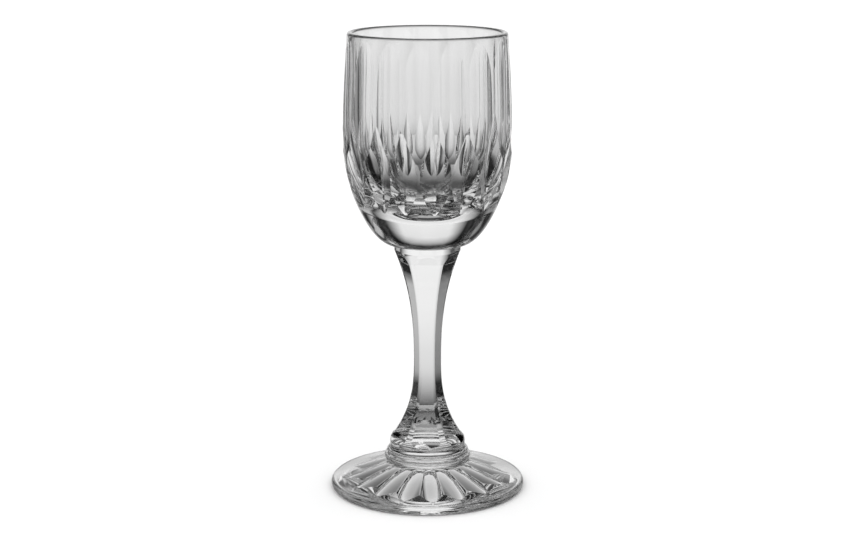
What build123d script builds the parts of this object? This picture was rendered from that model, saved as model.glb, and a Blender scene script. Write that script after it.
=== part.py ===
from build123d import *
import os
from math import cos, hypot, pi, radians, sin, tan

# A stemmed cordial glass of cut crystal, standing on its foot.
# Origin at the middle of the foot's underside, +Z up, millimetres and degrees.

# Foot
foot_diameter = 55.4
foot_rim_thickness = 2.4
foot_rim_round = 1.2
foot_slope_height = 7.2
foot_slope_inner_diameter = 27.2
foot_slope_curve = 1.15
seat_height = 10.9
seat_diameter = 24.8
seat_thickness = 1.1

# Star cut into the foot's underside
star_points = 16
star_turn = 4.0
star_tip_diameter = 45.6
star_hollow_diameter = 16.0
star_hollow_height = 4.6
star_flank_slope = 30.0
star_overlap = 0.5

# Collar between stem and foot
collar_diameter = 23.8
collar_thickness = 1.4

# Stem
stem_length = 58.4
stem_sides = 6
stem_turn = -3.0
bell_diameter = 22.4
bell_side_height = 1.2
bell_round_height = 3.5
bell_bulge = 0.7
bell_neck_diameter = 19.3
waist_diameter = 7.8
waist_across_flats = 7.1
waist_height = 24.2
stem_flare = 2.5
shoulder_diameter = 18.7
shoulder_round = 1.6
facet_fade_height = 4.7
facet_foot_height = 3.7
facet_end_height = 0.9
facet_clearance = 0.3

# Bowl
bowl_height = 59.3
rim_diameter = 44.3
bowl_diameter = 46.9
bowl_widest_height = 35.3
bowl_upper_curve = 1.4
bowl_lower_curve = 2.7
bowl_fullness = 0.35
heel_diameter = 39.0
heel_height = 10.8
base_curve = 0.48
rim_wall = 1.6
base_thickness = 9.9
cavity_belly_diameter = 42.0
cavity_belly_height = 38.5
cavity_waist_diameter = 39.2
cavity_waist_height = 24.6
cavity_turn_diameter = 31.6
cavity_turn_height = 16.0

# Flat panels and pointed mitre cuts on the bowl
panel_count = 16
panel_turn = 5.6
panel_top_margin = 1.2
panel_bottom_height = 26.0
panel_run_out = 4.2
mitre_top_height = 35.0
mitre_bottom_height = 11.6
mitre_deepest_height = 21.5
mitre_depth = 2.0
mitre_flank_slope = 22.0
mitre_flat_width = 0.6
mitre_clearance = 2.0

# Heights of the fused joints, from the table up
foot_radius = foot_diameter / 2
collar_bottom = seat_height
collar_top = collar_bottom + collar_thickness
stem_bottom = collar_top
stem_top = stem_bottom + stem_length
bowl_bottom = stem_top


def around_axis(tool, count, turn):
    """Copies of a cutting tool in an even ring; turn is measured from the front (-Y) towards +X."""
    step = 360 / count
    return [Rot(0, 0, turn - 90 + step * index) * tool for index in range(count)]


def circle_through(first, middle, last):
    """Centre and radius of the circle through three points of a plane."""
    (x1, y1), (x2, y2), (x3, y3) = first, middle, last
    a, b = 2 * (x2 - x1), 2 * (y2 - y1)
    c, d = 2 * (x3 - x1), 2 * (y3 - y1)
    e = x2 * x2 - x1 * x1 + y2 * y2 - y1 * y1
    f = x3 * x3 - x1 * x1 + y3 * y3 - y1 * y1
    det = a * d - b * c
    centre = ((e * d - b * f) / det, (a * f - e * c) / det)
    return centre, hypot(x1 - centre[0], y1 - centre[1])


def spread(low, high, count):
    """Evenly spaced values from low to high, both included."""
    return [low + (high - low) * index / (count - 1) for index in range(count)]


def turned(*edges):
    """The solid that a closed outline in the XZ plane sweeps about the axis."""
    return revolve(make_face(list(edges)), Axis.Z, 360)


def in_plane(points):
    """Points (radius, height) of the XZ plane."""
    return [(radius, 0, height) for radius, height in points]


# Foot: a low domed disc with a full round rim and a raised seat for the collar

def foot_slope(radius):
    """Height of the foot's top between its rim and the root of the seat."""
    outer = foot_radius - foot_rim_round
    inner = foot_slope_inner_diameter / 2
    share = (outer - radius) / (outer - inner)
    return foot_rim_thickness + (foot_slope_height - foot_rim_thickness) * share**foot_slope_curve


def make_foot():
    rim_inner = foot_radius - foot_rim_round
    slope_inner = foot_slope_inner_diameter / 2
    seat_radius = seat_diameter / 2
    seat_edge = seat_thickness / 2
    seat_bottom = seat_height - seat_thickness
    slope = [(radius, foot_slope(radius)) for radius in spread(rim_inner, slope_inner, 6)]
    neck = (seat_radius - seat_edge, seat_bottom)
    body = turned(
        Polyline(*in_plane([(0, seat_height), (0, 0), (rim_inner, 0)])),
        ThreePointArc(*in_plane([(rim_inner, 0), (foot_radius, foot_rim_thickness / 2), slope[0]])),
        Spline(*in_plane(slope)),
        Bezier(*in_plane([slope[-1], (seat_radius, foot_slope(seat_radius)), neck])),
        ThreePointArc(
            *in_plane([neck, (seat_radius, seat_height - seat_edge), (seat_radius - seat_edge, seat_height)])
        ),
        Line(*in_plane([(seat_radius - seat_edge, seat_height), (0, seat_height)])),
    )
    return body - star_cut()


def star_outline(height):
    """The star that the hollow makes at a height: points on the creases, notches on the ridges between."""
    half_pitch = radians(180 / star_points)
    tip_radius = star_tip_diameter / 2
    crease_fall = star_hollow_height / (tip_radius - star_hollow_diameter / 2)
    ridge_fall = crease_fall * cos(half_pitch) + tan(radians(star_flank_slope)) * sin(half_pitch)
    apex = tip_radius * crease_fall
    corners = []
    for index in range(2 * star_points):
        angle = radians(star_turn - 90) + half_pitch * index
        radius = (apex - height) / (ridge_fall if index % 2 else crease_fall)
        corners.append((radius * cos(angle), radius * sin(angle), height))
    return make_face(Polyline(*corners, close=True))


def star_cut():
    """A hollow of sixteen leaf-shaped grooves that rise from their tips to a flat in the middle."""
    return loft([star_outline(-star_overlap), star_outline(star_hollow_height)], ruled=True)


# Collar: a thin ring with a half-round edge, fused between bell and foot

def make_collar():
    radius = collar_diameter / 2
    edge = collar_thickness / 2
    return turned(
        Line(*in_plane([(radius - edge, collar_top), (0, collar_top)])),
        Polyline(*in_plane([(0, collar_top), (0, collar_bottom), (radius - edge, collar_bottom)])),
        ThreePointArc(
            *in_plane([(radius - edge, collar_bottom), (radius, collar_bottom + edge), (radius - edge, collar_top)])
        ),
    )


# Stem: drawn to a waist, with a round bell below, a round shoulder above and six long cut facets

def stem_radius(height):
    """Radius over the stem's corners at a height above its lower joint."""
    waist = waist_diameter / 2
    shoulder_start = stem_length - shoulder_round
    if height > waist_height:
        share = (height - waist_height) / (shoulder_start - waist_height)
        return waist + (shoulder_diameter / 2 - waist) * share**stem_flare
    share = (waist_height - height) / (waist_height - bell_round_height)
    return waist + (bell_neck_diameter / 2 - waist) * share**stem_flare


def make_stem():
    bell = bell_diameter / 2
    neck = bell_neck_diameter / 2
    shoulder = shoulder_diameter / 2
    shoulder_start = stem_length - shoulder_round
    drawn = [(stem_radius(height), height) for height in spread(bell_round_height, shoulder_start, 11)]
    bell_side = (bell, bell_side_height)
    bulge = (neck + (bell - neck) * bell_bulge, bell_round_height * bell_bulge)
    body = turned(
        Polyline(*in_plane([(shoulder, stem_length), (0, stem_length), (0, 0), (bell, 0), bell_side])),
        ThreePointArc(*in_plane([bell_side, bulge, (neck, bell_round_height)])),
        Spline(*in_plane(drawn)),
        Line(*in_plane([(shoulder, shoulder_start), (shoulder, stem_length)])),
    )
    cut = body - around_axis(facet_tool(), stem_sides, stem_turn)
    return Pos(0, 0, stem_bottom) * cut


def facet_tool():
    """What the wheel takes off one side of the stem: all that lies outside a long curved flat."""
    flat_share = waist_across_flats / waist_diameter
    fade_start = stem_length - facet_fade_height
    bell = bell_diameter / 2
    clear = bell_diameter
    fade_end = stem_length - shoulder_round / 2
    flat = [
        (stem_radius(height) * flat_share, height) for height in spread(facet_foot_height, fade_start, 10)
    ]
    fade = (shoulder_diameter / 2, fade_end)
    lowest = facet_end_height
    run_out = bell + facet_clearance
    outline = make_face(
        [
            Spline(*in_plane(flat)),
            Line(*in_plane([flat[-1], fade])),
            Polyline(*in_plane([fade, (clear, fade_end), (clear, lowest), (run_out, lowest), flat[0]])),
        ]
    )
    return extrude(outline, bell, dir=(0, 1, 0), both=True)


# Bowl: a heavy-based cup with sixteen flat panels and a ring of pointed mitre cuts

def bowl_side(height):
    """Outer radius of the uncut bowl at a height above its lower joint, from the heel up."""
    widest = bowl_diameter / 2
    if height > bowl_widest_height:
        share = (height - bowl_widest_height) / (bowl_height - bowl_widest_height)
        return widest - (widest - rim_diameter / 2) * share**bowl_upper_curve
    share = (bowl_widest_height - height) / (bowl_widest_height - heel_height)
    fullness = bowl_fullness * sin(pi * min(1, share)) ** 2
    return widest - (widest - heel_diameter / 2) * share**bowl_lower_curve + fullness


def bowl_base(share):
    """A point of the round underside, from the joint with the stem (share 0) to the heel (share 1)."""
    joint = shoulder_diameter / 2
    height = heel_height * share**2
    return joint + (heel_diameter / 2 - joint) * share ** (2 * base_curve), height


def make_bowl():
    lip = rim_wall / 2
    lip_height = bowl_height - lip
    outer_lip = (bowl_side(lip_height), lip_height)
    inner_lip = (bowl_side(lip_height) - rim_wall, lip_height)
    base = [bowl_base(share) for share in spread(0, 1, 7)]
    side = [(bowl_side(height), height) for height in spread(heel_height, lip_height, 11)]
    heel_lean = (side[1][0] - side[0][0], 0, side[1][1] - side[0][1])
    cavity = [
        inner_lip,
        (cavity_belly_diameter / 2, cavity_belly_height),
        (cavity_waist_diameter / 2, cavity_waist_height),
        (cavity_turn_diameter / 2, cavity_turn_height),
        (0, base_thickness),
    ]
    body = turned(
        Line(*in_plane([(0, 0), base[0]])),
        Spline(*in_plane(base), tangents=[(1, 0, 0), heel_lean]),
        Spline(*in_plane(side)),
        ThreePointArc(*in_plane([outer_lip, (outer_lip[0] - lip, bowl_height), inner_lip])),
        Spline(*in_plane(cavity), tangents=[(0, 0, -1), (-1, 0, 0)]),
        Line(*in_plane([(0, base_thickness), (0, 0)])),
    )
    half_pitch = 180 / panel_count
    body -= around_axis(panel_tool(), panel_count, panel_turn + half_pitch)
    body -= around_axis(mitre_wheel(), panel_count, panel_turn)
    return Pos(0, 0, bowl_bottom) * body


def panel_tool():
    """What the flat wheel takes off one side of the bowl; it runs out under the rim and above the base."""
    half_pitch = radians(180 / panel_count)
    top = bowl_height - panel_top_margin
    bottom = panel_bottom_height
    flat = [
        (bowl_side(height) * cos(half_pitch), height)
        for height in spread(bottom + panel_run_out, top - panel_run_out, 5)
    ]
    clear = bowl_diameter
    line = [(bowl_side(bottom), bottom)] + flat + [(bowl_side(top), top)]
    outline = make_face(
        [Spline(*in_plane(line)), Polyline(*in_plane([line[-1], (clear, top), (clear, bottom), line[0]]))]
    )
    return extrude(outline, bowl_diameter * sin(half_pitch), dir=(0, 1, 0), both=True)


def mitre_wheel():
    """The cutting wheel of one mitre, through the two tips and the deepest point of the cut."""
    deepest = (bowl_side(mitre_deepest_height) - mitre_depth, mitre_deepest_height)
    top_tip = (bowl_side(mitre_top_height), mitre_top_height)
    bottom_tip = (bowl_side(mitre_bottom_height), mitre_bottom_height)
    (axle_radius, axle_height), wheel_radius = circle_through(top_tip, deepest, bottom_tip)
    edge_height = mitre_depth + mitre_clearance
    flat_half = mitre_flat_width / 2
    edge_half = flat_half + edge_height / tan(radians(mitre_flank_slope))
    edge = axle_radius - wheel_radius
    section = make_face(
        Polyline(
            (edge, flat_half, axle_height),
            (edge + edge_height, edge_half, axle_height),
            (edge + edge_height, -edge_half, axle_height),
            (edge, -flat_half, axle_height),
            close=True,
        )
    )
    return revolve(section, Axis((axle_radius, 0, axle_height), (0, 1, 0)), 360)


os.makedirs("parts", exist_ok=True)
pieces = {
    "foot": make_foot(),
    "collar": make_collar(),
    "stem": make_stem(),
    "bowl": make_bowl(),
}
for name, piece in pieces.items():
    piece.label = name
    export_step(piece, f"parts/{name}.step")
    print(name, "volume", round(piece.volume), "height", round(piece.bounding_box().max.Z, 2))
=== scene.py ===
# %% [markdown]
# # A cut-crystal cordial glass
# This lesson dresses a small stemmed glass in Blender. The real one is blown and pressed in a few gathers
# of hot crystal that fuse into one, and is then cut on wheels and polished. The measured parts come from a
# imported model, which is loaded first and never moved; every new piece takes the place of one of its nodes.

# %% Load the frame
import math

import bpy
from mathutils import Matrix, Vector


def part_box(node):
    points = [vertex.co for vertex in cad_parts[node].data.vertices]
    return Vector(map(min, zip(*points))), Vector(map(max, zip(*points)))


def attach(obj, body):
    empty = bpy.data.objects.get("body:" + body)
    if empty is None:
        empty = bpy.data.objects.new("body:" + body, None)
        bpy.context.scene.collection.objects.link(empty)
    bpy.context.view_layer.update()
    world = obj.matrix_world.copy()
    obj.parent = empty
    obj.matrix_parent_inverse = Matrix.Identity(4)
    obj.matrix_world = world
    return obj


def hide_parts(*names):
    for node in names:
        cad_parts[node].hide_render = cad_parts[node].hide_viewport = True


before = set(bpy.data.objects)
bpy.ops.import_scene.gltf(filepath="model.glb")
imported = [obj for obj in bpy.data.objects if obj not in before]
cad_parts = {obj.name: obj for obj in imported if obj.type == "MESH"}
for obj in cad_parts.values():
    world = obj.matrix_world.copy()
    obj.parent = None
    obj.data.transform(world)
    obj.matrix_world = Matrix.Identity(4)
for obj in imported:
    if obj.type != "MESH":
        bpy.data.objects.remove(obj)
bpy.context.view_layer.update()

# %% [markdown]
# ## Working sizes
# Blender's unit here is the metre, but glassmakers think in millimetres, so sizes are written in
# millimetres and multiplied by MM where they reach Blender. The heights of the fused joints are read from
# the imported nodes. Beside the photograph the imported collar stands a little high, so the collar and the
# joints above and below it are set lower by SETTLE; the glass keeps its full height.

# %% Heights of the joints
MM = 0.001
SETTLE = 1.0


def node_heights(name):
    """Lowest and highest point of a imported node, in millimetres."""
    low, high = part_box(name)
    return round(low[2] / MM, 2), round(high[2] / MM, 2)


foot_top = node_heights("foot")[1]
collar_bottom, collar_top = node_heights("collar")
stem_bottom, stem_top = node_heights("stem")
bowl_bottom, bowl_top = node_heights("bowl")
collar_bottom = foot_top = round((collar_bottom + foot_top) / 2, 1) - SETTLE
collar_top -= SETTLE
print("joints at", foot_top, collar_top, stem_top, "rim at", bowl_top)

# %% [markdown]
# ## A hand for turning
# Almost everything on this glass is turned: one outline goes round the axis. By hand, one would extrude a
# vertex along the outline and then use Spin. These helpers do the same. A Boolean then works as the cutting
# wheel does, and gives its new faces the cutter's material, so that cut and uncut glass can differ.

# %% Helpers for turning and cutting
ROUND_STEPS = 192
# In millimetres: what counts as being in one place, and what is merged.
NEAR, MERGE = 0.01, 0.0005


def start_fresh():
    """Object mode, with nothing selected."""
    if bpy.context.object and bpy.context.object.mode != "OBJECT":
        bpy.ops.object.mode_set(mode="OBJECT")
    bpy.ops.object.select_all(action="DESELECT")


def draw_outline(name, points):
    """A ring of edges through (radius, height) points in mm: a circle whose vertices are put in place."""
    start_fresh()
    bpy.ops.mesh.primitive_circle_add(vertices=len(points), radius=MM, fill_type="NOTHING")
    piece = bpy.context.object
    piece.name = name
    for vertex, (radius, height) in zip(piece.data.vertices, points):
        vertex.co = (radius * MM, 0, height * MM)
    bpy.ops.object.mode_set(mode="EDIT")
    return piece


def turn(steps):
    """Spins the outline that is being edited about the axis and closes its seam and poles."""
    bpy.ops.mesh.select_all(action="SELECT")
    bpy.ops.mesh.spin(steps=steps, angle=2 * math.pi, center=(0, 0, 0), axis=(0, 0, 1))
    close_up()


def close_up():
    """Merges doubled vertices, turns all faces outwards and leaves edit mode."""
    bpy.ops.mesh.select_all(action="SELECT")
    bpy.ops.mesh.remove_doubles(threshold=MERGE * MM)
    bpy.ops.mesh.delete_loose(use_verts=True, use_edges=True, use_faces=False)
    bpy.ops.mesh.select_all(action="SELECT")
    bpy.ops.mesh.normals_make_consistent(inside=False)
    bpy.ops.object.mode_set(mode="OBJECT")


def cut(piece, operation, cutters):
    """Applies one Boolean to the piece with a list of cutters, and throws the cutters away."""
    group = bpy.data.collections.new("cutters")
    bpy.context.scene.collection.children.link(group)
    for cutter in cutters:
        group.objects.link(cutter)
    start_fresh()
    bpy.context.view_layer.objects.active = piece
    modifier = piece.modifiers.new("wheel", "BOOLEAN")
    modifier.operation = operation
    modifier.solver = "EXACT"
    modifier.material_mode = "TRANSFER"
    if len(cutters) == 1:
        modifier.object = cutters[0]
    else:
        modifier.operand_type = "COLLECTION"
        modifier.collection = group
    bpy.ops.object.modifier_apply(modifier=modifier.name)
    for cutter in cutters:
        bpy.data.objects.remove(cutter, do_unlink=True)
    bpy.data.collections.remove(group)
    print(piece.name, operation.lower(), len(piece.data.polygons), "faces")


def spread(low, high, count):
    """Evenly spaced values from low to high, both included."""
    return [low + (high - low) * index / (count - 1) for index in range(count)]


def arc(centre, radius, start, end, count):
    """Points of an arc in the outline's plane; angles in degrees, 0 outwards and 90 up."""
    angles = [math.radians(angle) for angle in spread(start, end, count)]
    return [(centre[0] + radius * math.cos(a), centre[1] + radius * math.sin(a)) for a in angles]


def curve(points, count):
    """A smooth curve through a few (radius, height) points, evenly spaced in between."""
    line = []
    last = len(points) - 1
    for share in spread(0, last, count):
        index = min(int(share), last - 1)
        t = share - index
        p = [points[max(min(index + offset, last), 0)] for offset in (-1, 0, 1, 2)]
        line.append(
            tuple(
                p[1][axis]
                + 0.5 * t * (p[2][axis] - p[0][axis])
                + t * t * (p[0][axis] - 2.5 * p[1][axis] + 2 * p[2][axis] - 0.5 * p[3][axis])
                + 0.5 * t**3 * (3 * p[1][axis] - 3 * p[2][axis] + p[3][axis] - p[0][axis])
                for axis in (0, 1)
            )
        )
    return line


print("helpers ready, round pieces get", ROUND_STEPS, "steps")

# %% [markdown]
# ## The crystal
# Lead crystal is colourless, heavy and very clear. Drawn and fire-polished glass keeps a faint ripple from
# the tool; cut glass is flatter, with finer marks and with edges that the polishing acid has softened. One
# Principled shader with full transmission gives each: the two differ in the scale and the depth of their
# ripple, and only the cut one has a Bevel node, which rounds the normals at its edges and so draws the thin
# bright and dark lines along them. In the photograph the clear bowl is a little darker than the white behind
# it, so the base colour is a pale grey, a little uneven as in hand-made glass.

# %% Colour and node helpers
def linear(hex_colour):
    """An sRGB hex colour as linear red, green, blue and alpha."""
    values = [int(hex_colour[index : index + 2], 16) / 255 for index in (0, 2, 4)]
    return (*[v / 12.92 if v <= 0.04045 else ((v + 0.055) / 1.055) ** 2.4 for v in values], 1.0)


def add_node(tree, kind, settings=None, values=None, links=None):
    """Adds a node, sets its properties and sockets, and links its inputs to (node, output) pairs."""
    node = tree.nodes.new(kind)
    for key, value in (settings or {}).items():
        setattr(node, key, value)
    for key, value in (values or {}).items():
        node.inputs[key].default_value = value
    for key, (source, output) in (links or {}).items():
        tree.links.new(source.outputs[output], node.inputs[key])
    return node


def set_stops(ramp, stops):
    """Gives a colour ramp its (position, grey) stops."""
    elements = ramp.color_ramp.elements
    while len(elements) > 1:
        elements.remove(elements[-1])
    elements[0].position, elements[0].color = stops[0][0], (stops[0][1],) * 3 + (1,)
    for position, grey in stops[1:]:
        elements.new(position).color = (grey, grey, grey, 1)


print("node helpers ready; middle grey in linear light is", round(linear("808080")[0], 3))

# %% Crystal, drawn and cut
CRYSTAL_IOR = 1.53
CRYSTAL_LIGHT, CRYSTAL_SHADE = "F5F5F5", "F1F1F1"
EDGE_ROUND = 0.2


def crystal(name, ripple_mm, ripple_height_mm, stretch, edge_mm=0.0):
    """Clear crystal with a faint ripple, stretched along the axis, and cut edges softened by edge_mm."""
    material = bpy.data.materials.new(name)
    material.use_nodes = True
    tree = material.node_tree
    shader = tree.nodes["Principled BSDF"]
    shader.inputs["Transmission Weight"].default_value = 1.0
    shader.inputs["Roughness"].default_value = 0.0
    shader.inputs["IOR"].default_value = CRYSTAL_IOR
    place = add_node(tree, "ShaderNodeTexCoord")
    sized = add_node(
        tree,
        "ShaderNodeMapping",
        values={"Scale": (1 / (ripple_mm * MM), 1 / (ripple_mm * MM), 1 / (ripple_mm * stretch * MM))},
        links={"Vector": (place, "Object")},
    )
    ripple = add_node(
        tree, "ShaderNodeTexNoise", values={"Scale": 1.0, "Detail": 1.0}, links={"Vector": (sized, "Vector")}
    )
    bump = add_node(
        tree,
        "ShaderNodeBump",
        values={"Strength": 1.0, "Distance": ripple_height_mm * MM},
        links={"Height": (ripple, "Fac")},
    )
    if edge_mm:
        edges = add_node(tree, "ShaderNodeBevel", {"samples": 4}, values={"Radius": edge_mm * MM})
        tree.links.new(edges.outputs["Normal"], bump.inputs["Normal"])
    cords = add_node(
        tree,
        "ShaderNodeTexNoise",
        values={"Scale": 0.35, "Detail": 2.0},
        links={"Vector": (sized, "Vector")},
    )
    tint = add_node(tree, "ShaderNodeValToRGB", links={"Fac": (cords, "Fac")})
    tint.color_ramp.elements[0].color = linear(CRYSTAL_SHADE)
    tint.color_ramp.elements[1].color = linear(CRYSTAL_LIGHT)
    tree.links.new(tint.outputs["Color"], shader.inputs["Base Color"])
    tree.links.new(bump.outputs["Normal"], shader.inputs["Normal"])
    return material


drawn_crystal = crystal("fire_polished_crystal", ripple_mm=9.0, ripple_height_mm=0.05, stretch=3.0)
cut_crystal = crystal(
    "wheel_cut_crystal", ripple_mm=6.0, ripple_height_mm=0.03, stretch=4.0, edge_mm=EDGE_ROUND
)

# Where two gathers fuse there is no surface left, so nothing is seen there: light goes straight through.
fused_joint = bpy.data.materials.new("fused_joint")
fused_joint.use_nodes = True
joint_tree = fused_joint.node_tree
joint_tree.nodes.remove(joint_tree.nodes["Principled BSDF"])
clear = add_node(joint_tree, "ShaderNodeBsdfTransparent")
joint_tree.links.new(clear.outputs["BSDF"], joint_tree.nodes["Material Output"].inputs["Surface"])
print("materials:", drawn_crystal.name, cut_crystal.name, fused_joint.name)


def finish_glass(piece, joints, sharp_angle=8.0):
    """Smooths the polished faces, keeps the cut edges crisp and clears the faces at the fused joints."""
    start_fresh()
    piece.select_set(True)
    bpy.context.view_layer.objects.active = piece
    bpy.ops.object.shade_smooth_by_angle(angle=math.radians(sharp_angle))
    piece.data.materials.append(fused_joint)
    index = len(piece.data.materials) - 1
    count = 0
    for face in piece.data.polygons:
        for height, radius in joints:
            at_joint = abs(face.center.z / MM - height) < NEAR and abs(face.normal.z) > 0.99
            if at_joint and math.hypot(face.center.x, face.center.y) / MM < radius:
                face.material_index = index
                count += 1
    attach(piece, "root")
    print(piece.name, len(piece.data.polygons), "faces,", count, "of them fused")


# %% [markdown]
# ## Bowl, before cutting
# The bowl is a heavy cup: a thick solid base, a side that swells to its widest about two thirds up, and a
# thin fire-polished lip. The outside is drawn as a closed outline with a flat lid and spun; the inside
# follows after the cutting. The side follows a formula that was fitted to the photograph, because a few
# points joined by straight lines would show in the reflections.

# %% Bowl outline
SHOULDER_RADIUS = 9.35
BOWL_RADIUS, RIM_RADIUS, HEEL_RADIUS = 23.45, 22.15, 19.5
WIDEST, HEEL = 35.3, 10.8
RIM_CURVE, SIDE_CURVE, BASE_CURVE = 1.4, 2.7, 0.96
RIM_WALL, BASE_THICKNESS, BLANK_FULLNESS = 1.6, 9.9, 0.35
bowl_height = bowl_top - bowl_bottom


def bowl_side(height):
    """Outer radius of the uncut bowl at a height above its lower joint, from the heel up."""
    if height > WIDEST:
        share = (height - WIDEST) / (bowl_height - WIDEST)
        return BOWL_RADIUS - (BOWL_RADIUS - RIM_RADIUS) * share**RIM_CURVE
    share = (WIDEST - height) / (WIDEST - HEEL)
    fullness = BLANK_FULLNESS * math.sin(math.pi * min(1.0, share)) ** 2
    return BOWL_RADIUS - (BOWL_RADIUS - HEEL_RADIUS) * share**SIDE_CURVE + fullness


lip = RIM_WALL / 2
lip_height = bowl_height - lip
lip_radius = bowl_side(lip_height)
base = [
    (SHOULDER_RADIUS + (HEEL_RADIUS - SHOULDER_RADIUS) * share**BASE_CURVE, HEEL * share**2)
    for share in spread(0, 1, 28)
]
side = [(bowl_side(height), height) for height in spread(HEEL, lip_height, 72)]
rim = arc((lip_radius - lip, lip_height), lip, 0, 180, 26)
cavity_points = [
    (lip_radius - RIM_WALL, lip_height),
    (20.9, 49.3),
    (21.0, 38.5),
    (20.6, 30.0),
    (19.6, 24.6),
    (18.2, 20.2),
    (15.8, 16.0),
    (12.2, 12.9),
    (8.0, 11.0),
    (4.0, 10.1),
    (0.0, BASE_THICKNESS),
]
cavity = curve(cavity_points, 73)
outline = [(0, 0)] + base + side[1:] + [(0, lip_height)]
bowl = draw_outline("crystal_bowl", [(radius, bowl_bottom + height) for radius, height in outline])
turn(ROUND_STEPS)
bowl.data.materials.append(drawn_crystal)
print("bowl spun from", len(outline), "points")

# %% [markdown]
# ## Sixteen shallow panels
# A broad wheel has taken sixteen tall panels off the bowl's side. They are very slightly hollow, leave a
# narrow uncut strip between them, fade out below the lip and end in a tongue above the base. Cutting sixteen
# times is slow, so this lesson makes one sixteen-sided body, which is wider than the bowl at both ends, and
# keeps what the two have in common. The wheel was guided by hand, so the strips are not quite evenly spaced.

# %% Panels
PANELS = 16
PANEL_TURN, LAND_HALF, HOLLOW, HOLLOW_COLUMNS = 5.6, 1.5, 0.2, 8
PANEL_DRIFT = [0.0, -1.0, -0.6, 0.8, -1.2, 1.5, -0.6, 0.9, -1.4, 1.1, 0.3, -1.7, 1.2, 2.1, 3.7, -0.2]
PANEL_BOTTOM, PANEL_RUN = 26.0, 4.2
PANEL_TOP_MARGIN, PANEL_TOP_RUN, PANEL_TOP_RISE = 0.9, 11.0, 0.05
# How far the cutting body reaches past panels and bowl, and how far below the lip its rows get closer.
BODY_BELOW, BODY_ABOVE, BODY_FLOOR = 6, 3, 5
COARSE_END, FINE_START = 5, 4.5
half_pitch = math.radians(180 / PANELS)
edge_angles = [PANEL_TURN + 360 / PANELS * index + drift for index, drift in enumerate(PANEL_DRIFT)]


def panel_line(height):
    """Distance of a panel from the axis; it runs out of the glass towards both ends."""
    top = bowl_height - PANEL_TOP_MARGIN
    reach = half_pitch - math.radians(LAND_HALF)
    depth = bowl_side(height) - (bowl_side(height) - HOLLOW * (reach / half_pitch) ** 2) * math.cos(reach)
    below = max(0.0, PANEL_BOTTOM + PANEL_RUN - height) / PANEL_RUN
    above = max(0.0, height - top + PANEL_TOP_RUN) / PANEL_TOP_RUN
    return bowl_side(height) - depth + depth * below**2 + (depth + PANEL_TOP_RISE) * above**2


def sided_body(name, line, angles, material, columns=1, hollow=0.0):
    """A closed body with an upright edge at each angle from the front, and sides hollowed to a depth."""
    sides = len(angles)
    body = draw_outline(name, line)
    turn(sides * columns)
    for vertex in body.data.vertices:
        flat = math.hypot(vertex.co.x, vertex.co.y)
        if flat > NEAR * MM:
            turned = math.atan2(vertex.co.y, vertex.co.x) / (2 * math.pi)
            side, part = divmod(round(turned * sides * columns) % (sides * columns), columns)
            width = (angles[(side + 1) % sides] - angles[side]) % 360
            across = part / columns - 0.5
            radius = flat / math.cos(math.radians(across * width)) + hollow * MM * (2 * across) ** 2
            angle = math.radians(angles[side] + (across + 0.5) * width)
            vertex.co.x, vertex.co.y = radius * math.sin(angle), -radius * math.cos(angle)
    start_fresh()
    bpy.context.view_layer.objects.active = body
    bpy.ops.object.mode_set(mode="EDIT")
    close_up()
    body.data.materials.append(material)
    return body


panel_heights = spread(PANEL_BOTTOM - BODY_BELOW, bowl_height - COARSE_END, 48)
panel_heights += spread(bowl_height - FINE_START, bowl_height + BODY_ABOVE, 40)
panel_points = [(panel_line(height), bowl_bottom + height) for height in panel_heights]
wide = 2 * BOWL_RADIUS
body_floor = bowl_bottom - BODY_FLOOR
panel_points = (
    [(0, body_floor), (wide, body_floor), (wide, panel_points[0][1])]
    + panel_points
    + [(0, panel_points[-1][1])]
)
panel_body = sided_body("panel_body", panel_points, edge_angles, cut_crystal, HOLLOW_COLUMNS, HOLLOW)
cut(bowl, "INTERSECT", [panel_body])

# %% [markdown]
# ## A ring of pointed mitres
# Over each upright strip a wheel with a V-shaped rim, blunted at its very edge, has cut a long pointed
# groove that is deepest near its middle. The cutter here is such a wheel: a four-cornered section that is
# spun about an axle lying across the cut. Only the stretch of the wheel that meets the glass is made. Each
# cut ends at its own height, and those at the back are a little shorter. Neighbouring wheels overlap, so
# every second one is joined into one cutter, and two Booleans cut them all.

# %% Mitre wheels
MITRE_TOPS = [
    34.2, 33.8, 38.6, 35.5, 33.2, 33.6, 32.6, 33.0,
    32.2, 33.4, 32.8, 33.1, 34.1, 36.8, 35.6, 34.3,
]
MITRE_BOTTOM, MITRE_DEEPEST, MITRE_DEPTH, MITRE_FLANK, MITRE_FLAT = 11.6, 21.5, 2.0, 22.0, 0.3
WHEEL_CLEARANCE, WHEEL_PAST_TIPS, WHEEL_STEPS = 1.0, 3.0, 60


def circle_through(first, middle, last):
    """Centre and radius of the circle through three points of a plane."""
    (x1, y1), (x2, y2), (x3, y3) = first, middle, last
    a, b, c, d = 2 * (x2 - x1), 2 * (y2 - y1), 2 * (x3 - x1), 2 * (y3 - y1)
    e = x2 * x2 - x1 * x1 + y2 * y2 - y1 * y1
    f = x3 * x3 - x1 * x1 + y3 * y3 - y1 * y1
    det = a * d - b * c
    centre = ((e * d - b * f) / det, (a * f - e * c) / det)
    return centre, math.hypot(x1 - centre[0], y1 - centre[1])


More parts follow.
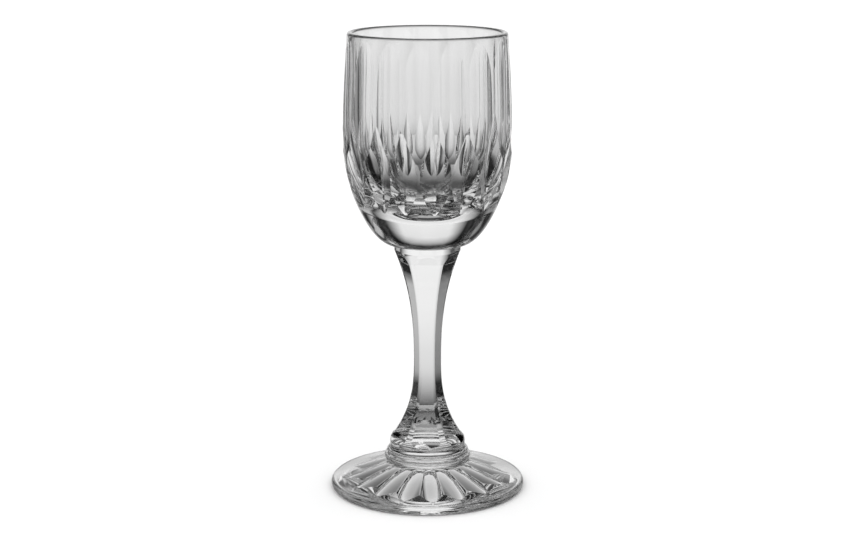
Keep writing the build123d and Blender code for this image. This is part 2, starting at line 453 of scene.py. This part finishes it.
def mitre_wheel(top):
    """The rim of a V-edged wheel whose cut ends at a given height, on the side of +X."""
    points = [(bowl_side(top), top), (bowl_side(MITRE_DEEPEST) - MITRE_DEPTH, MITRE_DEEPEST)]
    points.append((bowl_side(MITRE_BOTTOM), MITRE_BOTTOM))
    (axle, level), radius = circle_through(*points)
    rim_height = MITRE_DEPTH + WHEEL_CLEARANCE
    rim_half = MITRE_FLAT + rim_height / math.tan(math.radians(MITRE_FLANK))
    past_tips = math.radians(WHEEL_PAST_TIPS)
    low = math.asin((MITRE_BOTTOM - level) / radius) - past_tips
    sweep = math.asin((top - level) / radius) + past_tips - low
    centre = (axle * MM, 0, (bowl_bottom + level) * MM)
    start_fresh()
    bpy.ops.mesh.primitive_circle_add(vertices=4, radius=MM, fill_type="NGON")
    wheel = bpy.context.object
    inner = radius - rim_height
    corners = [(radius, -MITRE_FLAT), (radius, MITRE_FLAT), (inner, rim_half), (inner, -rim_half)]
    for vertex, (reach, across) in zip(wheel.data.vertices, corners):
        x = axle - reach * math.cos(low)
        z = bowl_bottom + level + reach * math.sin(low)
        vertex.co = (x * MM, across * MM, z * MM)
    bpy.ops.object.mode_set(mode="EDIT")
    bpy.ops.mesh.select_all(action="SELECT")
    bpy.ops.mesh.spin(steps=WHEEL_STEPS, angle=-sweep, center=centre, axis=(0, 1, 0))
    close_up()
    wheel.data.materials.append(cut_crystal)
    return wheel


wheels = []
for top, angle in zip(MITRE_TOPS, edge_angles):
    wheel = mitre_wheel(top)
    turned = math.radians(angle - 90)
    heights = [vertex.co.z / MM for vertex in wheel.data.vertices]
    for vertex in wheel.data.vertices:
        x, y = vertex.co.x, vertex.co.y
        vertex.co.x = x * math.cos(turned) - y * math.sin(turned)
        vertex.co.y = x * math.sin(turned) + y * math.cos(turned)
    wheels.append(wheel)
print(len(wheels), "wheels, the last from", round(min(heights), 1), "to", round(max(heights), 1), "mm")
for every_second in (wheels[0::2], wheels[1::2]):
    start_fresh()
    for wheel in every_second:
        wheel.select_set(True)
    bpy.context.view_layer.objects.active = every_second[0]
    bpy.ops.object.join()
    cut(bowl, "DIFFERENCE", [every_second[0]])

# %% [markdown]
# ## Lip and inside of the bowl
# The wheel never touches the inside, so it is spun by itself: the rounded lip and the cavity down to the
# thick base. The flat lid that closed the bowl while it was cut is deleted, and the two are joined along the
# lip.

# %% Inside
lid_level = (bowl_bottom + lip_height - NEAR) * MM
lid = [face.index for face in bowl.data.polygons if face.center.z > lid_level]
start_fresh()
bpy.context.view_layer.objects.active = bowl
bowl.select_set(True)
bpy.ops.object.mode_set(mode="EDIT")
bpy.ops.mesh.select_all(action="DESELECT")
bpy.ops.object.mode_set(mode="OBJECT")
for index in lid:
    bowl.data.polygons[index].select = True
bpy.ops.object.mode_set(mode="EDIT")
bpy.ops.mesh.delete(type="FACE")
inside = draw_outline("inside", [(radius, bowl_bottom + height) for radius, height in rim + cavity[1:]])
bpy.ops.mesh.select_all(action="DESELECT")
bpy.ops.object.mode_set(mode="OBJECT")
closing = inside.data.edges[-1]
closing.select = True
bpy.ops.object.mode_set(mode="EDIT")
bpy.ops.mesh.delete(type="EDGE_FACE")
turn(ROUND_STEPS)
inside.data.materials.append(drawn_crystal)
start_fresh()
inside.select_set(True)
bowl.select_set(True)
bpy.context.view_layer.objects.active = bowl
bpy.ops.object.join()
bpy.ops.object.mode_set(mode="EDIT")
close_up()
print("lid of", len(lid), "faces removed, bowl now", len(bowl.data.polygons), "faces")
finish_glass(bowl, [(bowl_bottom, SHOULDER_RADIUS)])
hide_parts("bowl")

# %% [markdown]
# ## Stem
# The stem was drawn out hot to a narrow waist, so its side is a smooth flare to both ends, with a round
# shoulder under the bowl and a round bell on the collar. Six long flats were then cut along it; they fade
# into the shoulder and end in a rounded tongue on the bell. As with the bowl, a six-sided body keeps what is
# left.

# %% Stem outline and flats
WAIST_RADIUS, WAIST_FLAT, WAIST_HEIGHT, STEM_FLARE = 3.9, 3.55, 24.2, 2.5
BELL_RADIUS, BELL_NECK_RADIUS, BELL_ROUND = 10.7, 9.4, 3.5
SHOULDER_ROUND, FACET_FADE, FACET_FOOT = 1.6, 4.7, 3.7
STEM_SIDES, STEM_TURN = 6, -3.0
BELL_STEP, BULGE_SHARE, BULGE_HEIGHT = 0.6, 0.75, 0.7
# How far past the glass the flats run out at both ends, and how far inside the bell the joint's ring lies.
TONGUE_PAST, TONGUE_LOW, FADE_PAST, FACET_PAST = 0.3, 0.8, 0.2, 2
JOINT_INSET = 0.4
stem_length = stem_top - stem_bottom
shoulder_start = stem_length - SHOULDER_ROUND


def stem_radius(height):
    """Radius over the stem's corners at a height above its lower joint."""
    if height > WAIST_HEIGHT:
        share = (height - WAIST_HEIGHT) / (shoulder_start - WAIST_HEIGHT)
        return WAIST_RADIUS + (SHOULDER_RADIUS - WAIST_RADIUS) * share**STEM_FLARE
    share = (WAIST_HEIGHT - height) / (WAIST_HEIGHT - BELL_ROUND)
    return WAIST_RADIUS + (BELL_NECK_RADIUS - WAIST_RADIUS) * share**STEM_FLARE


bell_side = [(BELL_RADIUS, height) for height in (-SETTLE, 0, BELL_STEP, BELL_ROUND / 3)]
bulge_radius = BELL_RADIUS * BULGE_SHARE + BELL_NECK_RADIUS * (1 - BULGE_SHARE)
bulge = (bulge_radius, BELL_ROUND * BULGE_HEIGHT)
bell_centre, bell_arc = circle_through(bell_side[-1], bulge, (BELL_NECK_RADIUS, BELL_ROUND))
bell_start = math.degrees(math.atan2(bell_side[-1][1] - bell_centre[1], bell_side[-1][0] - bell_centre[0]))
bell_end = math.degrees(math.atan2(BELL_ROUND - bell_centre[1], BELL_NECK_RADIUS - bell_centre[0]))
bell = arc(bell_centre, bell_arc, bell_start, bell_end, 16)
drawn = [(stem_radius(height), height) for height in spread(BELL_ROUND, shoulder_start, 96)]
shoulder = [(SHOULDER_RADIUS, stem_length - SHOULDER_ROUND / 2), (SHOULDER_RADIUS, stem_length)]
outline = [(0, -SETTLE)] + bell_side + bell[1:] + drawn[1:] + shoulder + [(0, stem_length)]
stem = draw_outline("crystal_stem", [(radius, stem_bottom + height) for radius, height in outline])
turn(ROUND_STEPS // 2)
stem.data.materials.append(drawn_crystal)

flat_share = WAIST_FLAT / WAIST_RADIUS
fade_start = stem_length - FACET_FADE
flats = [(stem_radius(height) * flat_share, height) for height in spread(FACET_FOOT, fade_start, 72)]
lowest = (BELL_RADIUS + TONGUE_PAST, TONGUE_LOW)
fade = (SHOULDER_RADIUS + FADE_PAST, stem_length - SHOULDER_ROUND / 2)
wide = 2 * BELL_RADIUS
body_top = stem_length + FACET_PAST
facet_line = [(0, -FACET_PAST), (wide, -FACET_PAST), (wide, lowest[1]), lowest] + flats + [fade]
facet_line += [(wide, fade[1]), (wide, body_top), (0, body_top)]
facet_line = [(radius, stem_bottom + height) for radius, height in facet_line]
corner_angles = [STEM_TURN + 360 / STEM_SIDES * (index + 0.5) for index in range(STEM_SIDES)]
cut(stem, "INTERSECT", [sided_body("facet_body", facet_line, corner_angles, cut_crystal)])
finish_glass(stem, [(stem_bottom - SETTLE, BELL_RADIUS - JOINT_INSET), (stem_top, SHOULDER_RADIUS + 1)])
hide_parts("stem")

# %% [markdown]
# ## Collar
# Between bell and foot sits a thin ring that glassmakers call a merese. Its edge is a plain half round, left
# by the heat, so it is one short outline and a spin.

# %% Collar
COLLAR_RADIUS = 11.6
edge = (collar_top - collar_bottom) / 2
collar_edge = arc((COLLAR_RADIUS - edge, (collar_top + collar_bottom) / 2), edge, -90, 90, 26)
collar_outline = [(0, collar_bottom), (BELL_RADIUS - JOINT_INSET, collar_bottom)] + collar_edge
collar_outline += [(BELL_RADIUS - JOINT_INSET, collar_top), (0, collar_top)]
collar = draw_outline("crystal_collar", collar_outline)
turn(ROUND_STEPS // 2)
collar.data.materials.append(drawn_crystal)
finish_glass(collar, [(collar_bottom, BELL_RADIUS), (collar_top, BELL_RADIUS)])
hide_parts("collar")

# %% [markdown]
# ## Foot
# The foot is a low dome with a full round rim and a raised seat for the collar. It was shaped while hot and
# is round all over, so one outline and a spin make it too. The root of the seat is a short curve, because a
# sharp inner corner would show as a hard line that hot glass does not have.

# %% Foot
FOOT_RADIUS, FOOT_RIM, FOOT_RIM_ROUND = 27.7, 2.4, 1.2
SLOPE_HEIGHT, SLOPE_INNER, SLOPE_CURVE = 7.2, 13.6, 1.15
SEAT_RADIUS, SEAT_THICKNESS, ROOT_RADIUS, ROOT_BEND = 12.3, 1.3, 12.8, (0.2, 0.35)
UNDERSIDE_RADIUS = 24.0


def foot_slope(radius):
    """Height of the foot's top between its rim and the root of the seat."""
    share = (FOOT_RADIUS - FOOT_RIM_ROUND - radius) / (FOOT_RADIUS - FOOT_RIM_ROUND - SLOPE_INNER)
    return FOOT_RIM + (SLOPE_HEIGHT - FOOT_RIM) * share**SLOPE_CURVE


rim_start = FOOT_RADIUS - FOOT_RIM_ROUND
rim_centre, rim_arc = circle_through((rim_start, 0), (FOOT_RADIUS, FOOT_RIM / 2), (rim_start, FOOT_RIM))
rim_open = math.degrees(math.atan2(FOOT_RIM / 2, rim_start - rim_centre[0]))
foot_rim = arc(rim_centre, rim_arc, -rim_open, rim_open, 40)
slope = [(radius, foot_slope(radius)) for radius in spread(rim_start, ROOT_RADIUS, 40)]
neck = (SEAT_RADIUS - SEAT_THICKNESS / 2, foot_top - SEAT_THICKNESS)
bend = (neck[0] + ROOT_BEND[0], slope[-1][1] + ROOT_BEND[1])
root = [
    tuple((1 - t) ** 2 * slope[-1][k] + 2 * t * (1 - t) * bend[k] + t * t * neck[k] for k in (0, 1))
    for t in spread(0, 1, 16)
]
seat = arc((neck[0], foot_top - SEAT_THICKNESS / 2), SEAT_THICKNESS / 2, -90, 90, 24)
outline = [(0, 0), (UNDERSIDE_RADIUS, 0)] + foot_rim + slope[1:] + root[1:] + seat[1:]
outline += [(BELL_RADIUS - JOINT_INSET, foot_top), (0, foot_top)]
foot = draw_outline("crystal_foot", outline)
turn(ROUND_STEPS)
foot.data.materials.append(drawn_crystal)
print("foot spun from", len(outline), "points")

# %% [markdown]
# ## Star under the foot
# A star of sixteen leaves is cut deep into the underside: each is a round-bottomed groove that rises towards
# a hollow in the middle. Through the clear dome these grooves are the petals that one sees from above. The
# cutter is one spun disc whose top is lifted into leaves, vertex by vertex, because sixteen gouges one by
# one would leave slivers in the middle.

# %% Star
STAR_POINTS, STAR_TURN, STAR_TIP_RADIUS = 16, 4.0, 21.6
HOLLOW_RADIUS, HOLLOW_HEIGHT, LEAF_FALL, GOUGE_WIDTH = 8.0, 4.6, 1.4, 6.4
DISC_RADIUS, DISC_BOTTOM, DISC_TOP, LEAF_REACH, LEAF_STEPS = 26, -2, -1.5, 25.4, 20
star_pitch = 2 * math.pi / STAR_POINTS


def leaf_height(radius, angle):
    """Height of a leaf at a distance from the axis and an angle from the leaf's middle line."""
    share = max(0.0, radius * math.cos(angle) - HOLLOW_RADIUS) / (STAR_TIP_RADIUS - HOLLOW_RADIUS)
    ridge = HOLLOW_HEIGHT * (1 - min(1.0, share) ** LEAF_FALL) ** LEAF_FALL
    return ridge - (radius * math.sin(angle)) ** 2 / GOUGE_WIDTH


star_disc = [(0, DISC_BOTTOM), (DISC_RADIUS, DISC_BOTTOM)]
star = draw_outline("star_body", star_disc + [(radius, 0) for radius in spread(LEAF_REACH, 0, 45)])
turn(STAR_POINTS * LEAF_STEPS)
for vertex in star.data.vertices:
    if vertex.co.z > -MM:
        angle = math.atan2(vertex.co.x, -vertex.co.y) - math.radians(STAR_TURN)
        from_middle = (angle + star_pitch / 2) % star_pitch - star_pitch / 2
        radius = math.hypot(vertex.co.x, vertex.co.y) / MM
        vertex.co.z = max(DISC_TOP, leaf_height(radius, from_middle)) * MM
star.data.materials.append(cut_crystal)
cut(foot, "DIFFERENCE", [star])
finish_glass(foot, [(foot_top, BELL_RADIUS)], sharp_angle=14.0)
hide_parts("foot")

# %% [markdown]
# ## Light
# Clear glass has no look of its own: it shows what is around it. The photograph is cut out on white, but the
# light and dark places in the glass tell of a bright backdrop behind it in a darker room. One could build
# that from lamps and cards; the World does it with fewer parts, and nothing stands in the way of another
# view. It has two faces here. The camera and the floor see plain white. Light that goes through the glass or
# bounces off it meets rings of softboxes with dark gaps, in tiers from the floor up: the backdrop is
# brightest, narrow strips stand beside it, and dimmer boxes stand round the other sides. The light fades
# towards the table and the ceiling, and the table is pale again straight below. This light is made for the
# photograph's view: from between the boxes, and from above, the same glass looks darker, even smoky.

# %% Softboxes
# Degrees above the horizon, and brightness.
ELEVATIONS = [
    (-90, 0.5), (-62, 0.44), (-55, 0.32), (-49, 0.04), (-44, 0.05), (-38, 0.16),
    (-32, 0.28), (-25, 0.47), (-18, 0.7), (-12, 0.85), (-5, 0.96), (10, 1.0),
    (30, 0.92), (39, 0.5), (47, 0.06), (60, 0.01), (90, 0.01),
]
GAP = 0.02
# Bearing from straight behind the glass, half width and soft edge in degrees, and brightness.
BACKDROP = [(1.0, 17.0, 13.5, 1.0)]
STRIPS = [(-49, 9, 5, 0.28), (50, 14, 4, 0.6)]
SIDES = [(-180, 15, 6), (-135, 11, 6), (-91, 12, 6), (91, 12, 6), (135, 11, 6), (180, 15, 6)]
SIDES_LOW = [(*place, 0.78) for place in SIDES]
SIDES_HIGH = [(*place, 0.4) for place in SIDES]
FLOOR = [(0, 180, 1, 1.0)]
FLOOR_EDGE = [(-180, 20, 8, 0.45), (0, 28, 10, 1.0), (180, 20, 8, 0.45)]
# Tiers from straight below upwards, and the elevations between which each gives way to the next.
TIERS = [FLOOR, FLOOR_EDGE, BACKDROP + SIDES_LOW, BACKDROP + STRIPS + SIDES_LOW, BACKDROP + SIDES_HIGH]
TIER_EDGES = [(-82, -74), (-49, -45), (-26, -19), (6, 12)]
ROOM_STRENGTH, WHITE_STRENGTH = 1.05, 1.25


def softbox_stops(softboxes):
    """Colour-ramp stops of a ring of softboxes."""
    stops = []
    for middle, half, edge, brightness in sorted(softboxes):
        for bearing, grey in (
            (middle - half - edge, GAP),
            (middle - half, brightness),
            (middle + half, brightness),
            (middle + half + edge, GAP),
        ):
            if abs(bearing) <= 180:
                stops.append((0.5 + bearing / 360, grey))
    return stops


print("stops round, tier by tier:", [len(softbox_stops(softboxes)) for softboxes in TIERS])

# %% World
world = bpy.data.worlds.new("studio")
bpy.context.scene.world = world
world.use_nodes = True
sky = world.node_tree
room = sky.nodes["Background"]
room.inputs["Strength"].default_value = ROOM_STRENGTH
direction = add_node(sky, "ShaderNodeTexCoord")
axes = add_node(sky, "ShaderNodeSeparateXYZ", links={"Vector": (direction, "Generated")})
height = add_node(sky, "ShaderNodeMapRange", values={"From Min": -1.0}, links={"Value": (axes, "Z")})
upright = add_node(sky, "ShaderNodeValToRGB", links={"Fac": (height, "Result")})
set_stops(upright, [(0.5 + 0.5 * math.sin(math.radians(angle)), grey) for angle, grey in ELEVATIONS])
bearing = add_node(sky, "ShaderNodeMath", {"operation": "ARCTAN2"}, links={0: (axes, "X"), 1: (axes, "Y")})
around = add_node(
    sky,
    "ShaderNodeMapRange",
    values={"From Min": -math.pi, "From Max": math.pi},
    links={"Value": (bearing, 0)},
)
rings = []
for softboxes in TIERS:
    ring = add_node(sky, "ShaderNodeValToRGB", links={"Fac": (around, "Result")})
    set_stops(ring, softbox_stops(softboxes))
    rings.append(ring)
lit = rings[0].outputs["Color"]
for edges, above in zip(TIER_EDGES, rings[1:]):
    low, high = [math.sin(math.radians(elevation)) for elevation in edges]
    share = add_node(
        sky, "ShaderNodeMapRange", values={"From Min": low, "From Max": high}, links={"Value": (axes, "Z")}
    )
    tier = add_node(sky, "ShaderNodeMix", {"data_type": "RGBA"})
    sky.links.new(share.outputs["Result"], tier.inputs["Factor"])
    sky.links.new(lit, tier.inputs["A"])
    sky.links.new(above.outputs["Color"], tier.inputs["B"])
    lit = tier.outputs["Result"]
light = add_node(
    sky,
    "ShaderNodeMix",
    {"data_type": "RGBA", "blend_type": "MULTIPLY"},
    values={"Factor": 1.0},
)
sky.links.new(upright.outputs["Color"], light.inputs["A"])
sky.links.new(lit, light.inputs["B"])
sky.links.new(light.outputs["Result"], room.inputs["Color"])
white = add_node(sky, "ShaderNodeBackground", values={"Color": (1, 1, 1, 1), "Strength": WHITE_STRENGTH})
path = add_node(sky, "ShaderNodeLightPath")
plain = add_node(
    sky,
    "ShaderNodeMath",
    {"operation": "MAXIMUM"},
    links={0: (path, "Is Camera Ray"), 1: (path, "Is Diffuse Ray")},
)
both = add_node(sky, "ShaderNodeMixShader", links={0: (plain, 0), 1: (room, 0), 2: (white, 0)})
sky.links.new(both.outputs["Shader"], sky.nodes["World Output"].inputs["Surface"])
print("world:", len(ELEVATIONS), "bands up,", len(TIERS), "tiers of softboxes round")

# %% [markdown]
# ## Floor and camera
# The glass stands on white paper. A flat disc that reaches far behind the glass is enough. It is hidden from
# the light that the glass bends and reflects, because the real glass is dark where a pale table would show
# in it. The camera stands where the ellipses of rim and foot look as they do in the photograph. Light
# crosses many surfaces in cut glass, so it is let through more of them than Blender allows by default.

# %% Floor
FLOOR_RADIUS_M, FLOOR_DROP = 6.0, 0.05
start_fresh()
bpy.ops.mesh.primitive_circle_add(
    vertices=96, radius=FLOOR_RADIUS_M, fill_type="NGON", location=(0, 0, -FLOOR_DROP * MM)
)
floor = bpy.context.object
floor.name = "pale_floor"
floor.visible_transmission = False
floor.visible_glossy = False
# White paper scatters all light evenly, so it has no shine at all.
paper = bpy.data.materials.new("white_paper")
paper.use_nodes = True
paper_shader = paper.node_tree.nodes["Principled BSDF"]
paper_shader.inputs["Base Color"].default_value = linear("FAFAFA")
paper_shader.inputs["Roughness"].default_value = 1.0
paper_shader.inputs["Specular IOR Level"].default_value = 0.0
floor.data.materials.append(paper)
print("floor:", floor.name, "of", paper.name)

# %% Camera
CAMERA_BACK_M, CAMERA_HEIGHT_M, CAMERA_DOWN = 0.5088, 0.1752, 12.35
SENSOR_WIDTH, LENS, NEAREST_M = 36, 77.9, 0.01
bpy.ops.object.camera_add(
    location=(0.0, -CAMERA_BACK_M, CAMERA_HEIGHT_M), rotation=(math.radians(90 - CAMERA_DOWN), 0, 0)
)
camera = bpy.context.object
camera.data.sensor_width = SENSOR_WIDTH
camera.data.lens = LENS
camera.data.clip_start = NEAREST_M
scene = bpy.context.scene
scene.camera = camera
scene.view_settings.view_transform = "Standard"
scene.cycles.max_bounces = 48
scene.cycles.transmission_bounces = 40
scene.cycles.glossy_bounces = 24
scene.cycles.transparent_max_bounces = 48
print("camera at", [round(value, 3) for value in camera.location], "lens", camera.data.lens)
